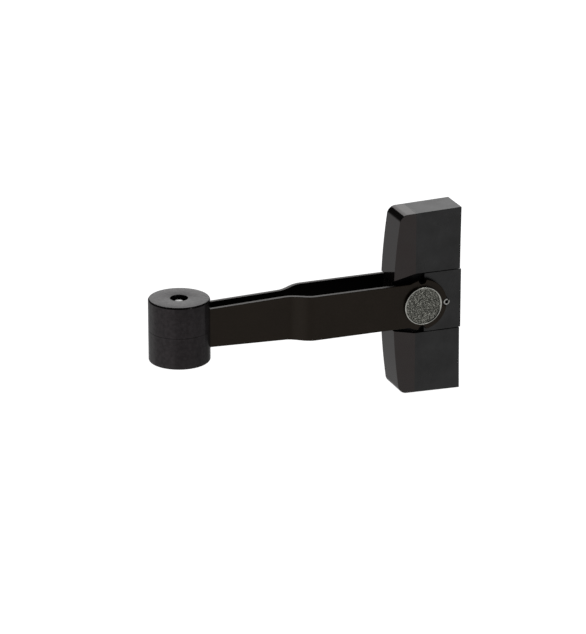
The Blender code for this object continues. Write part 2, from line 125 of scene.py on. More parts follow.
DOG_CORNER_R, DOG_EDGE = 4.1 * MM, 0.4 * MM
GUIDE_Z = 8.6 * MM


# Shapes


def arc(centre, radius, start, end, count):
    turns = [math.radians(start + (end - start) * i / count) for i in range(count + 1)]
    return [(centre[0] + radius * math.cos(t), centre[1] + radius * math.sin(t)) for t in turns]


def link(thing):
    bpy.context.scene.collection.objects.link(thing)
    return thing


def object_from(name, shape):
    mesh = bpy.data.meshes.new(name)
    shape.to_mesh(mesh)
    shape.free()
    return link(bpy.data.objects.new(name, mesh))


def plate(name, outline, low, high, upright=False):
    """A flat outline made solid between two heights, or between two depths along Y where it is upright."""
    shape = bmesh.new()
    if upright:
        points = [(x, low, z) for x, z in outline]
    else:
        points = [(x, y, low) for x, y in outline]
    face = shape.faces.new([shape.verts.new(p) for p in points])
    move = (0, high - low, 0) if upright else (0, 0, high - low)
    raised = bmesh.ops.extrude_face_region(shape, geom=[face])
    top = [v for v in raised["geom"] if isinstance(v, bmesh.types.BMVert)]
    bmesh.ops.translate(shape, verts=top, vec=move)
    bmesh.ops.recalc_face_normals(shape, faces=shape.faces)
    return object_from(name, shape)


def turned(name, profile, sides, axis="Z", at=(0, 0, 0), ring=False):
    """A turned piece: (radius, height) points run down its outer side, with height along the axis."""
    shape = bmesh.new()
    verts = [shape.verts.new((r, 0, h)) for r, h in profile]
    edges = [shape.edges.new(pair) for pair in zip(verts, verts[1:])]
    if ring:
        edges.append(shape.edges.new((verts[-1], verts[0])))
    bmesh.ops.spin(shape, geom=verts + edges, cent=(0, 0, 0), axis=(0, 0, 1), angle=2 * math.pi, steps=sides)
    bmesh.ops.remove_doubles(shape, verts=shape.verts, dist=FINE / 10)
    bmesh.ops.recalc_face_normals(shape, faces=shape.faces)
    turn = {"Z": (0, 0, 0), "Y": (-90, 0, 0), "X": (0, 90, 0)}[axis]
    thing = object_from(name, shape)
    thing.rotation_euler = [math.radians(a) for a in turn]
    thing.location = at
    settle(thing)
    return thing


def settle(thing):
    """Writes an object's place into its mesh and applies its modifiers."""
    bpy.context.view_layer.update()
    mesh = bpy.data.meshes.new_from_object(thing.evaluated_get(bpy.context.evaluated_depsgraph_get()))
    mesh.transform(thing.matrix_world)
    thing.modifiers.clear()
    thing.data = mesh
    thing.matrix_world.identity()
    thing.location, thing.rotation_euler = (0, 0, 0), (0, 0, 0)


def cut(thing, tool, operation="DIFFERENCE"):
    """Cuts a tool out of an object, or keeps only what they share, and removes the tool."""
    boolean = thing.modifiers.new("cut", "BOOLEAN")
    boolean.operation = operation
    boolean.object = tool
    boolean.solver = "EXACT"
    settle(thing)
    bpy.data.objects.remove(tool, do_unlink=True)


def drill(thing, radius, sides, axis, at):
    profile = [(0, REACH), (radius, REACH), (radius, -REACH), (0, -REACH)]
    cut(thing, turned("drill", profile, sides, axis, at))


def block(name, low, high):
    outline = [(low[0], low[1]), (high[0], low[1]), (high[0], high[1]), (low[0], high[1])]
    return plate(name, outline, low[2], high[2])


def rounded(thing, width, segments=3, angle=35):
    """Rounds the sharp edges and keeps the flat faces flat."""
    flat = math.radians(0.05)
    shape = bmesh.new()
    shape.from_mesh(thing.data)
    bmesh.ops.remove_doubles(shape, verts=shape.verts, dist=FINE)
    bmesh.ops.dissolve_limit(shape, angle_limit=flat, verts=shape.verts, edges=shape.edges)
    shape.to_mesh(thing.data)
    shape.free()
    edge = thing.modifiers.new("edge", "BEVEL")
    edge.width = width
    edge.segments = segments
    edge.limit_method = "ANGLE"
    edge.angle_limit = math.radians(angle)
    edge.use_clamp_overlap = True
    edge.harden_normals = True
    thing.data.shade_smooth()
    settle(thing)


def smooth(thing, angle=35):
    thing.data.shade_smooth()
    thing.data.set_sharp_from_angle(angle=math.radians(angle))


def moved(outline, x):
    return [(px + x, pz) for px, pz in outline]


# Materials


def node_of(tree, kind, **settings):
    """A new node, with each setting put on the input or the property of that name."""
    made = tree.nodes.new(kind)
    for key, value in settings.items():
        if key in made.inputs:
            made.inputs[key].default_value = value
        else:
            setattr(made, key, value)
    return made


def base_material(name, metallic=0.0, level=0.5, tint=(1.0, 1.0, 1.0)):
    """A new material with its node tree, its shader and the object's own coordinates."""
    made = bpy.data.materials.new(name)
    made.use_nodes = True
    tree = made.node_tree
    shader = tree.nodes["Principled BSDF"]
    shader.inputs["Metallic"].default_value = metallic
    shader.inputs["Specular IOR Level"].default_value = level
    shader.inputs["Specular Tint"].default_value = (*tint, 1.0)
    place = tree.nodes.new("ShaderNodeTexCoord")
    return made, tree, shader, place.outputs["Object"]


def noise_at(tree, place, scale, detail=3.0, rough=0.5):
    made = node_of(tree, "ShaderNodeTexNoise", Scale=scale, Detail=detail, Roughness=rough)
    tree.links.new(place, made.inputs["Vector"])
    return made.outputs["Fac"]


def ramp(tree, value, *stops):
    """A colour that follows a value from stop to stop: (position, colour) each."""
    made = tree.nodes.new("ShaderNodeValToRGB")
    points = made.color_ramp.elements
    while len(points) < len(stops):
        points.new(0.5)
    for point, (position, colour) in zip(points, stops):
        point.position = position
        point.color = (*colour, 1.0)
    tree.links.new(value, made.inputs["Fac"])
    return made.outputs["Color"]


def cloudy(tree, value, dark, light):
    """A colour that runs from dark to light over the middle of a noise's range."""
    return ramp(tree, value, (0.3, dark), (0.7, light))


def spread(tree, value, low, high):
    """A value from 0 to 1, stretched to run from low to high."""
    made = node_of(tree, "ShaderNodeMapRange")
    made.inputs["To Min"].default_value = low
    made.inputs["To Max"].default_value = high
    tree.links.new(value, made.inputs["Value"])
    return made.outputs["Result"]


def bump(tree, shader, *layers):
    """Stacks bumps on a shader: (height, strength, distance) each."""
    before = None
    for height, strength, distance in layers:
        made = node_of(tree, "ShaderNodeBump", Strength=strength, Distance=distance)
        tree.links.new(height, made.inputs["Height"])
        if before is not None:
            tree.links.new(before, made.inputs["Normal"])
        before = made.outputs["Normal"]
    tree.links.new(before, shader.inputs["Normal"])


def satin_finish(
    name, dark, light, roughness, cloud, grain=1500.0,
    level=0.5, tint=(1.0, 1.0, 1.0), peel=0.005 * MM, mottle=0.15,
):
    """A satin skin: faint clouds of tone and gloss, and a fine grain as deep as peel that mottles the gloss.

    Cloud and grain are noise scales, and mottle is the share by which the grain changes the specular level.
    """
    made, tree, shader, place = base_material(name, level=level, tint=tint)
    tone = noise_at(tree, place, 90.0, detail=4.0)
    tree.links.new(cloudy(tree, tone, dark, light), shader.inputs["Base Color"])
    gloss = noise_at(tree, place, cloud, detail=3.0, rough=0.6)
    tree.links.new(spread(tree, gloss, *roughness), shader.inputs["Roughness"])
    fine = noise_at(tree, place, grain, detail=2.0)
    shine = spread(tree, fine, level * (1 - mottle), level * (1 + mottle))
    tree.links.new(shine, shader.inputs["Specular IOR Level"])
    slow = noise_at(tree, place, cloud * 0.8, detail=1.0)
    bump(tree, shader, (slow, 0.35, 0.3 * MM), (fine, 1.0, peel))
    return made


def hammered_steel(name):
    """The rivet's beaten face, its colour following the pits' noise: painted shade in the pits and painted
    highlight on the high spots.
    """
    made, tree, shader, place = base_material(name, metallic=1.0)
    spots = node_of(tree, "ShaderNodeTexVoronoi", Scale=1500.0, Randomness=1.0)
    tree.links.new(place, spots.inputs["Vector"])
    pits = noise_at(tree, place, 2300.0, detail=5.0, rough=0.75)
    broad = noise_at(tree, place, 350.0, detail=3.0)
    # Painted shade and highlight: the colour follows the same noise as the bump, dark where the face sinks
    # and bright where it rises.
    pit_shade, slope, peak_highlight = (0.025, 0.025, 0.022), (0.085, 0.085, 0.074), (0.66, 0.66, 0.59)
    colour = ramp(tree, pits, (0.39, pit_shade), (0.515, slope), (0.63, peak_highlight))
    tree.links.new(colour, shader.inputs["Base Color"])
    tree.links.new(spread(tree, broad, 0.22, 0.5), shader.inputs["Roughness"])
    bump(tree, shader, (pits, 0.8, 0.08 * MM), (spots.outputs["Distance"], 0.5, 0.06 * MM))
    return made


def bare_metal(name, dark, light, roughness, scale=600.0):
    """Metal with no paint: cloudy tone, slower changes of gloss and a fine grain."""
    made, tree, shader, place = base_material(name, metallic=1.0)
    tone = noise_at(tree, place, scale, detail=4.0)
    tree.links.new(cloudy(tree, tone, dark, light), shader.inputs["Base Color"])
    gloss = noise_at(tree, place, scale * 0.4)
    tree.links.new(spread(tree, gloss, *roughness), shader.inputs["Roughness"])
    bump(tree, shader, (noise_at(tree, place, scale * 3), 0.3, 0.01 * MM))
    return made


def dog_finish(name, seam):
    """Satin moulded black. Ahead of a fine line across the moulding it is warmer and much glossier."""
    made, tree, shader, place = base_material(name)
    split = node_of(tree, "ShaderNodeSeparateXYZ")
    tree.links.new(place, split.inputs["Vector"])

    def mixed(kind, front, back):
        """The front zone's value and the back zone's, joined at the line."""
        made = node_of(tree, "ShaderNodeMix", data_type=kind)
        first, second, result = {"FLOAT": (2, 3, 0), "RGBA": (6, 7, 2)}[kind]
        for slot, value in ((0, rear), (first, front), (second, back)):
            tree.links.new(value, made.inputs[slot])
        return made.outputs[result]

    half_line = 0.08 * MM
    zone = node_of(tree, "ShaderNodeMapRange")
    zone.inputs["From Min"].default_value = seam - half_line
    zone.inputs["From Max"].default_value = seam + half_line
    tree.links.new(split.outputs["X"], zone.inputs["Value"])
    rear = zone.outputs["Result"]
    tone = noise_at(tree, place, 110.0, detail=5.0, rough=0.6)
    warm = cloudy(tree, tone, (0.0062, 0.0052, 0.0050), (0.0085, 0.0072, 0.0068))
    cool = cloudy(tree, tone, (0.0036, 0.0036, 0.0037), (0.0067, 0.0067, 0.0069))
    tree.links.new(mixed("RGBA", warm, cool), shader.inputs["Base Color"])
    blush = cloudy(tree, tone, (1.0, 0.86, 0.84), (1.0, 0.91, 0.89))
    clear = cloudy(tree, tone, (0.76, 0.76, 0.76), (0.98, 0.98, 0.99))
    tree.links.new(mixed("RGBA", blush, clear), shader.inputs["Specular Tint"])
    cloud = noise_at(tree, place, 75.0, detail=3.0, rough=0.55)
    glossy, satin = spread(tree, cloud, 0.06, 0.12), spread(tree, cloud, 0.20, 0.40)
    tree.links.new(mixed("FLOAT", glossy, satin), shader.inputs["Roughness"])
    fine = noise_at(tree, place, 1800.0, detail=2.0)
    slow = noise_at(tree, place, 55.0, detail=1.0)
    flow = node_of(tree, "ShaderNodeMapping")
    flow.inputs["Scale"].default_value = (1.0, 1.0, 0.12)
    tree.links.new(place, flow.inputs["Vector"])
    streak = noise_at(tree, flow.outputs["Vector"], 420.0, detail=3.0)
    drift, lines = (slow, 0.25, 0.3 * MM), (streak, 0.12, 0.03 * MM)
    grain, step = (fine, 0.15, 0.02 * MM), (rear, 0.5, 0.03 * MM)
    bump(tree, shader, drift, lines, grain, step)
    return made


STRAP_BLACK = satin_finish(
    "strap_black", dark=(0.0035, 0.0022, 0.0010), light=(0.0055, 0.0036, 0.0020), roughness=(0.24, 0.34),
    cloud=60.0, level=0.235, tint=(1.0, 0.86, 0.74),
)
# Painted shade: a darker, duller black for the fork's inner faces, where the arms shade each other.
STRAP_INSIDE_PAINTED_SHADE = satin_finish(
    "strap_inside_painted_shade", dark=(0.0012, 0.0010, 0.0008), light=(0.0020, 0.0016, 0.0012), roughness=(0.40, 0.52),
    cloud=60.0, level=0.05,
)
DOG_BLACK = dog_finish("dog_black", PIVOT.x + RECESS_KNEE)
# Painted shade: a darker, duller black for the web faces deep in the ear recesses, where the dog's lobes
# shade them.
DOG_RECESS_PAINTED_SHADE = satin_finish(
    "dog_recess_painted_shade", dark=(0.0030, 0.0030, 0.0034), light=(0.0050, 0.0050, 0.0056), roughness=(0.35, 0.50),
    cloud=80.0, level=0.12,
)
BUFFER_BLACK = satin_finish(
    "buffer_black", dark=(0.0040, 0.0034, 0.0036), light=(0.0068, 0.0058, 0.0062), roughness=(0.17, 0.27),
    cloud=90.0, grain=650.0, level=0.30, tint=(1.0, 0.90, 0.93), peel=0.05 * MM, mottle=0.55,
)
RIVET_FACE = hammered_steel("rivet_face")
RIVET_RIM = bare_metal("rivet_rim", (0.34, 0.34, 0.31), (0.58, 0.58, 0.54), (0.14, 0.26))
PIN_STEEL = bare_metal("pin_steel", (0.20, 0.20, 0.19), (0.52, 0.52, 0.50), (0.18, 0.30), scale=900.0)
ZINC = bare_metal("zinc", (0.50, 0.50, 0.50), (0.70, 0.70, 0.69), (0.22, 0.38))
DARK_ZINC = bare_metal("dark_zinc", (0.05, 0.05, 0.055), (0.12, 0.12, 0.13), (0.35, 0.5))
BRONZE = bare_metal("bronze", (0.36, 0.22, 0.09), (0.52, 0.34, 0.15), (0.35, 0.5))
NYLON = satin_finish(
    "nylon", dark=(0.10, 0.11, 0.13), light=(0.15, 0.16, 0.19), roughness=(0.4, 0.5), cloud=120.0,
)


def coat(thing, skin):
    thing.data.materials.clear()
    thing.data.materials.append(skin)


def wear(piece, body, node, skin):
    """Puts a piece on its body, in place of its model node, with its finish."""
    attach(piece, body)
    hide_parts(node)
    coat(piece, skin)


# Fork


def strap_centre_line(count=28):
    """The near arm from its ear to the buffer, seen from above, with its joggle as a smooth wave."""
    wide, narrow = WIDE_OUTER - STRAP / 2, NARROW_OUTER - STRAP / 2
    start, end = (PIVOT.x - d for d in JOGGLE)
    bend = []
    for i in range(count + 1):
        share = (1 - math.cos(math.pi * i / count)) / 2
        bend.append((start + (end - start) * i / count, -(wide + (narrow - wide) * share)))
    return [(PIVOT.x + EAR_R + STRAP, -wide), *bend, (BUFFER_X, -narrow)]


def offset(line, distance):
    """A line moved sideways, to its left where the distance is above zero."""
    out = []
    for i, (x, y) in enumerate(line):
        ax, ay = line[max(i - 1, 0)]
        bx, by = line[min(i + 1, len(line) - 1)]
        length = math.hypot(bx - ax, by - ay)
        out.append((x - distance * (by - ay) / length, y + distance * (bx - ax) / length))
    return out


def strap_plan():
    """The fork seen from above: both arms and the bend round the buffer's axis, one strap thick."""
    near = strap_centre_line()
    eye = arc((BUFFER_X, 0.0), NARROW_OUTER - STRAP / 2, 270, 90, 32)[1:-1]
    line = near + eye + [(x, -y) for x, y in reversed(near)]
    return offset(line, STRAP / 2) + list(reversed(offset(line, -STRAP / 2)))


def notch(angle):
    """Half the angle that a notch takes out of an ear's rim, and the points of its round floor."""
    meeting = (EAR_R**2 + PIN_X**2 - NOTCH_R**2) / (2 * EAR_R * PIN_X)
    half = math.degrees(math.acos(meeting))
    turn = math.radians(angle)
    centre = (PIN_X * math.cos(turn), PIN_X * math.sin(turn))
    opening = math.degrees(math.acos((EAR_R * math.cos(math.radians(half)) - PIN_X) / NOTCH_R))
    return half, arc(centre, NOTCH_R, angle + 360 - opening, angle + opening, 20)


def strap_side():
    """The fork seen from the side: the notched ear, the straight arm and its taper to the eye."""
    start = 180 - math.degrees(math.asin(STRAP_BOTTOM / EAR_R))
    end = 540 - math.degrees(math.asin(STRAP_TOP / EAR_R))
    rim = []
    for angle in (270, 360, 450):
        half, dip = notch(angle)
        rim += arc((0, 0), EAR_R, start, angle - half, 20) + dip[1:-1]
        start = angle + half
    rim += arc((0, 0), EAR_R, start, end, 8)
    left = BUFFER_X - PIVOT.x - 2 * NARROW_OUTER
    points = [(left, EYE_BOTTOM), (-TAPER[1], EYE_BOTTOM), (-TAPER[0], STRAP_BOTTOM), *rim]
    points += [(-TAPER[0], STRAP_TOP), (-TAPER[1], EYE_TOP), (left, EYE_TOP)]
    return moved(points, PIVOT.x)


def make_fork():
    """The strap where its plan and its side view meet, with painted shade: a darker, duller black on its
    inner faces, between the arms.
    """
    fork = plate("fork_strap_skin", strap_plan(), -EAR_R - STRAP, EAR_R + STRAP)
    side = plate("side", strap_side(), -REACH, REACH, upright=True)
    cut(fork, side, operation="INTERSECT")
    drill(fork, PIVOT_HOLE_R, 64, "Y", PIVOT)
    rounded(fork, STRAP_EDGE)
    wear(fork, "fork", "fork_strap", STRAP_BLACK)
    fork.data.materials.append(STRAP_INSIDE_PAINTED_SHADE)
    # Faces turned towards the other arm get the painted shade.
    for face in fork.data.polygons:
        inward_painted_shade = face.normal.y * face.center.y < 0 and abs(face.normal.y) > 0.5
        face.material_index = 1 if inward_painted_shade else 0


# Buffer


def make_buffer():
    """Two turned halves with a fine groove where they meet, hollowed for the fork's eye and the nut."""
    edge, lip, groove, half_gap = 0.8 * MM, 0.3 * MM, 0.06 * MM, 0.015 * MM
    hole, bore = 3.8 * MM, 2.3 * MM
    pocket, pocket_top = 4.4 * MM, -10.7 * MM
    room_half, room_low, room_high = 5.6 * MM, -8.9 * MM, 9.3 * MM
    nut_flats, nut_low, nut_high = 7.6 * MM, 9.0 * MM, 12.2 * MM
    upper = arc((hole + lip, BUFFER_TOP - lip), lip, 180, 90, 4)
    upper += arc((BUFFER_R - edge, BUFFER_TOP - edge), edge, 90, 0, 8)
    upper += [(BUFFER_R, half_gap + groove), (BUFFER_R - groove, half_gap), (hole, half_gap)]
    lower = [(bore, -half_gap), (BUFFER_R - groove, -half_gap), (BUFFER_R, -half_gap - groove)]
    lower += arc((BUFFER_R - edge, BUFFER_BOTTOM + edge), edge, 0, -90, 8)
    lower += [(pocket, BUFFER_BOTTOM), (pocket, pocket_top), (bore, pocket_top)]
    for name, profile in (("buffer_upper", upper), ("buffer_lower", lower)):
        piece = turned(f"{name}_skin", profile, 128, at=(BUFFER_X, 0, 0), ring=True)
        room = arc((BUFFER_X, 0.0), room_half, 90, 270, 32)
        room += [(BUFFER_X + REACH, -room_half), (BUFFER_X + REACH, room_half)]
        cut(piece, plate("room", room, room_low, room_high))
        if name == "buffer_upper":
            cut(piece, plate("nut_room", hexagon(nut_flats), nut_low, nut_high))
        smooth(piece, 30)
        wear(piece, "fork", name, BUFFER_BLACK)


def hexagon(flats):
    """A hexagon round the buffer's axis, by its width across the flats."""
    return [(x + BUFFER_X, y) for x, y in arc((0, 0), flats / math.sqrt(3), 0, 300, 5)]


def make_clamp_screw():
    """The screw up the buffer's axis: a socket head at the bottom and a thread at the top."""
    head, shank = (SCREW_HIGH.y - SCREW_LOW.y) / 2, 2.0 * MM
    top, low, seat = SCREW_HIGH.z, SCREW_LOW.z, -12.0 * MM
    crown, edge, dip = 0.6 * MM, 0.45 * MM, 0.05 * MM
    pitch, depth, threaded = 0.7 * MM, 0.35 * MM, 8 * MM
    dome, rim, shoulder = 0.25 * MM, 0.8 * MM, 0.3 * MM
    socket_flats, socket_depth = 2.5 * MM, 1.2 * MM
    profile = [(0, top), (crown, top), (shank - edge, top - dip), (shank, top - edge)]
    height = top - edge - pitch
    while height > top - threaded:
        profile += [(shank - depth, height + pitch / 2), (shank, height)]
        height -= pitch
    profile += [(shank, seat), (head, seat), (head, low + rim), (head - dome, low + shoulder)]
    profile += [(head - 3 * dome, low), (0, low)]
    screw = turned("clamp_screw_skin", profile, 64, at=(BUFFER_X, 0, 0))
    cut(screw, plate("socket", hexagon(socket_flats), low - MM, low + socket_depth))
    smooth(screw)
    wear(screw, "fork", "clamp_screw", ZINC)


def make_clamp_nut():
    """A hexagon nut with its corners turned off and a chamfered bore."""
    low, high = NUT_LOW.z, NUT_HIGH.z
    flats, face, corner, chamfer = 7.0 * MM, 3.6 * MM, 4.1 * MM, 0.45 * MM
    mouth, bore, slope = 2.5 * MM, 2.15 * MM, 0.35 * MM
    cone = [(0, high), (face - chamfer * 0.3, high), (corner, high - chamfer), (corner, low), (0, low)]
    hole = [(0, high + MM), (face, high + MM), (mouth, high), (bore, high - slope)]
    hole += [(bore, low - MM), (0, low - MM)]
    nut = plate("clamp_nut_skin", hexagon(flats), low, high)
    cut(nut, turned("cone", cone, 96, at=(BUFFER_X, 0, 0)), operation="INTERSECT")
    cut(nut, turned("bore", hole, 64, at=(BUFFER_X, 0, 0)))
    rounded(nut, 0.08 * MM, segments=2, angle=30)
    wear(nut, "fork", "clamp_nut", DARK_ZINC)


# Pivot


def rivet_face(radius, floor):
    """A beaten disc: rings of points raised and sunk by layered noise, flat at its rim."""
    rings, sides = 60, 200
    layers = ((0.055, 1.5), (0.035, 3.4), (0.03, 0.4))  # height in mm, waves per mm
    border = 0.5 * MM
    shape = bmesh.new()
    middle = shape.verts.new((0, 0, floor))
    before = None
    for i in range(1, rings + 1):
        r = radius * i / rings
        ring = []
        for j in range(sides):
            t = 2 * math.pi * j / sides
            x, y = r * math.cos(t), r * math.sin(t)
            spot = Vector((x, y, 0.0)) / MM
            height = sum(size * noise.noise(spot * waves) for size, waves in layers)
            share = min(1.0, (radius - r) / border)
            ring.append(shape.verts.new((x, y, floor + height * MM * share)))
        for j in range(sides):
            k = (j + 1) % sides
            if before is None:
                shape.faces.new((middle, ring[j], ring[k]))
            else:
                shape.faces.new((before[j], ring[j], ring[k], before[k]))
        before = ring
    return shape, before


def make_rivet():
    """The head's beaten face and raised rim, the shank and the closed tail, as one skin along Y."""
    head = (RIVET_HIGH.z - RIVET_LOW.z) / 2
    rim_top, tail_top = -RIVET_LOW.y, RIVET_HIGH.y
    floor, base, tail_base = 11.4 * MM, 10.6 * MM, 11.7 * MM
    rim, shank, tail = 0.75 * MM, 4.0 * MM, 5.8 * MM
    inner, round_r, chamfer = head - rim, 0.25 * MM, 0.1 * MM
    shape, edge = rivet_face(inner, floor)
    profile = [(inner + 0.1 * MM, floor + 0.2 * MM), (inner + 0.2 * MM, rim_top - 0.06 * MM)]
    profile += [(inner + 0.32 * MM, rim_top)]
    profile += arc((head - round_r, rim_top - round_r), round_r, 90, 0, 6)
    profile += [(head, base + chamfer), (head - chamfer, base), (shank, base)]
    profile += [(shank, -tail_base), (tail, -tail_base)]
    for angle in range(10, 90, 10):
        lean, rise = math.cos(math.radians(angle)), math.sin(math.radians(angle))
        profile.append((tail * lean, -tail_base - (tail_top - tail_base) * rise))
    sides = len(edge)
    rings = []
    for radius, height in profile:
        turns = [2 * math.pi * j / sides for j in range(sides)]
        rings.append([shape.verts.new((radius * math.cos(t), radius * math.sin(t), height)) for t in turns])
    for low, high in zip([edge] + rings, rings):
        for j in range(sides):
            k = (j + 1) % sides
            shape.faces.new((low[j], high[j], high[k], low[k]))
    end = shape.verts.new((0, 0, -tail_top))
    for j in range(sides):
        shape.faces.new((rings[-1][j], end, rings[-1][(j + 1) % sides]))
    bmesh.ops.recalc_face_normals(shape, faces=shape.faces)
    rivet = object_from("pivot_rivet_skin", shape)
    rivet.rotation_euler = (math.radians(90), 0, 0)
    rivet.location = PIVOT
    settle(rivet)
    smooth(rivet, 40)
    wear(rivet, "fork", "pivot_rivet", RIVET_FACE)
    rivet.data.materials.append(RIVET_RIM)
    face_r, face_y = inner + 0.05 * MM, 0.2 * MM - floor
    for face in rivet.data.polygons:
        centre = face.center - PIVOT
        on_face = centre.y < face_y and math.hypot(centre.x, centre.z) < face_r
        face.material_index = 0 if on_face else 1


def make_tail_washer():
    inner, outer = 4.3 * MM, (WASHER_HIGH.z - WASHER_LOW.z) / 2
    low, high, edge = WASHER_LOW.y, WASHER_HIGH.y, 0.15 * MM
    profile = [(inner, high), (outer - edge, high), (outer, high - edge)]
    profile += [(outer, low + edge), (outer - edge, low), (inner, low)]
    washer = turned("tail_washer_skin", profile, 96, "Y", PIVOT, ring=True)
    smooth(washer)
    wear(washer, "fork", "tail_washer", DARK_ZINC)


# Dog


def dog_outline():
    """The dog from the side: a bowed front, round front corners, leaning ends and a hollow back."""
    tip, corner = DOG_HALF_HEIGHT_AT_FRONT, DOG_CORNER_R
    reach, rise = tip - corner, DOG_FRONT_AT_TIPS - DOG_FRONT
    bow = (reach**2 + rise**2) / (2 * rise)
    sweep = math.degrees(math.asin(reach / bow))
    slant = math.degrees(math.atan((DOG_HALF_HEIGHT - tip) / (DOG_BACK_AT_TIPS - DOG_FRONT_AT_TIPS - corner)))
    front = arc((DOG_FRONT + bow, 0.0), bow, 180 - sweep, 180 + sweep, 40)
    low_corner = arc((DOG_FRONT_AT_TIPS + corner, -reach), corner, 180 + sweep, 270 - slant, 16)[1:]
    count = 32
    back = []
    for i in range(count + 1):
        share = -1 + 2 * i / count
        hollow = (DOG_BACK_AT_TIPS - DOG_BACK_HOLLOW) * (1 - share**2)
        back.append((DOG_BACK_AT_TIPS - hollow, share * DOG_HALF_HEIGHT))
    high_corner = [(x, -z) for x, z in reversed(low_corner)]
    return moved(front + low_corner + back + high_corner, PIVOT.x)


def make_dog():
    """The dog with a recess in each side for the ears, room at the back for the slide, and its bore."""
    dog = plate("dog_body_skin", dog_outline(), -DOG_HALF_WIDTH, DOG_HALF_WIDTH, upright=True)
    left, knee = DOG_FRONT - REACH, RECESS_KNEE
    low = RECESS_TALL - (RECESS_TALL - RECESS_AT_FRONT) * (knee - left) / (knee - DOG_FRONT)
    outline = [(left, -low), (knee, -RECESS_TALL), (REACH, -RECESS_TALL)]
    outline += [(x, -z) for x, z in reversed(outline)]
    outline = moved(outline, PIVOT.x)
    cut(dog, plate("near", outline, -REACH, -WEB_HALF_WIDTH, upright=True))
    cut(dog, plate("far", outline, WEB_HALF_WIDTH, REACH, upright=True))
    room_low = (PIVOT.x + WEB_BACK, -REACH, -RECESS_TALL)
    cut(dog, block("room", room_low, (PIVOT.x + REACH, REACH, RECESS_TALL)))
    drill(dog, WEB_BORE_R, 64, "Y", PIVOT)
    rounded(dog, DOG_EDGE, segments=4)
    wear(dog, "dog", "dog_body", DOG_BLACK)
    dog.data.materials.append(DOG_RECESS_PAINTED_SHADE)
    # The web faces inside the recesses get the painted shade.
    web = WEB_HALF_WIDTH + 0.1 * MM
    for face in dog.data.polygons:
        web_painted_shade = abs(face.normal.y) > 0.9 and abs(face.center.y) < web
        face.material_index = 1 if web_painted_shade else 0


def make_slide():
    """The slide: two cheeks that hold the pin, joined by a block with counterbores for its guide screws."""
    tall, back = SLIDE_HIGH.z, SLIDE_HIGH.x - PIVOT.x
    cheek, cheek_x, cheek_r = 2.3 * MM, 2.0 * MM, 9.6 * MM
    inner, block_front, pin_gap = DOG_HALF_WIDTH - cheek, 9.3 * MM, 0.1 * MM
    wide, narrow, floor, front = 2.9 * MM, 1.8 * MM, 13.0 * MM, 3 * MM
    opening = math.degrees(math.acos(cheek_x / cheek_r))
    outline = [(cheek_x, -tall), (back, -tall), (back, tall), (cheek_x, tall)]
    outline += list(reversed(arc((0, 0), cheek_r, -opening, opening, 48)))
    outline = moved(outline, PIVOT.x)
    slide = plate("detent_slide_skin", outline, -DOG_HALF_WIDTH, DOG_HALF_WIDTH, upright=True)
    room_high = (PIVOT.x + block_front, inner, REACH)
    cut(slide, block("room", (PIVOT.x - REACH, -inner, -REACH), room_high))
    drill(slide, PIN_R + pin_gap, 48, "Y", PIVOT + Vector((PIN_X, 0, 0)))
    steps = [(0, REACH), (wide, REACH), (wide, floor), (narrow, floor), (narrow, front), (0, front)]
    for z in (GUIDE_Z, -GUIDE_Z):
        cut(slide, turned("counterbore", steps, 48, "X", PIVOT + Vector((0, 0, z))))
    rounded(slide, 0.2 * MM)
    wear(slide, "detent", "detent_slide", DOG_BLACK)


def make_pin():
    """The slotted spring pin, with chamfered ends."""
    inner, edge, end = 0.8 * MM, 0.25 * MM, PIN_HIGH.y
    half_slit, slit_turn = 0.28 * MM, math.radians(-48)
    centre = PIVOT + Vector((PIN_X, 0, 0))
    profile = [(inner, end), (PIN_R - edge, end), (PIN_R, end - edge)]
    profile += [(PIN_R, edge - end), (PIN_R - edge, -end), (inner, -end)]
    pin = turned("detent_pin_skin", profile, 64, "Y", centre, ring=True)
    slit = block("slit", (0, -REACH, -half_slit), (REACH, REACH, half_slit))
    slit.rotation_euler = (0, slit_turn, 0)
    slit.location = centre
    settle(slit)
    cut(pin, slit)
    rounded(pin, 0.06 * MM, segments=2)
    wear(pin, "detent", "detent_pin", PIN_STEEL)


def make_guide_screws():
    """The two slotted shoulder screws that the slide runs on."""
    head, shoulder, thread, edge = 2.6 * MM, 1.5 * MM, 1.2 * MM, 0.35 * MM
    top, base, step, end, tip = 18.6 * MM, 16.9 * MM, 9.3 * MM, 4.4 * MM, 4.2 * MM
    half_slot, slot_depth = 0.4 * MM, 0.7 * MM
    profile = [(0, top), (head - edge, top), (head, top - edge), (head, base), (shoulder, base)]
    profile += [(shoulder, step), (thread, step), (thread, end), (0, tip)]
    x = PIVOT.x + top
    for side, z in (("upper", GUIDE_Z), ("lower", -GUIDE_Z)):
        screw = turned(f"guide_screw_{side}_skin", profile, 64, "X", PIVOT + Vector((0, 0, z)))
        slot_low = (x - slot_depth, -REACH, z - half_slot)
        cut(screw, block("slot", slot_low, (x + MM, REACH, z + half_slot)))
        rounded(screw, 0.08 * MM, segments=2)
        wear(screw, "dog", f"guide_screw_{side}", ZINC)


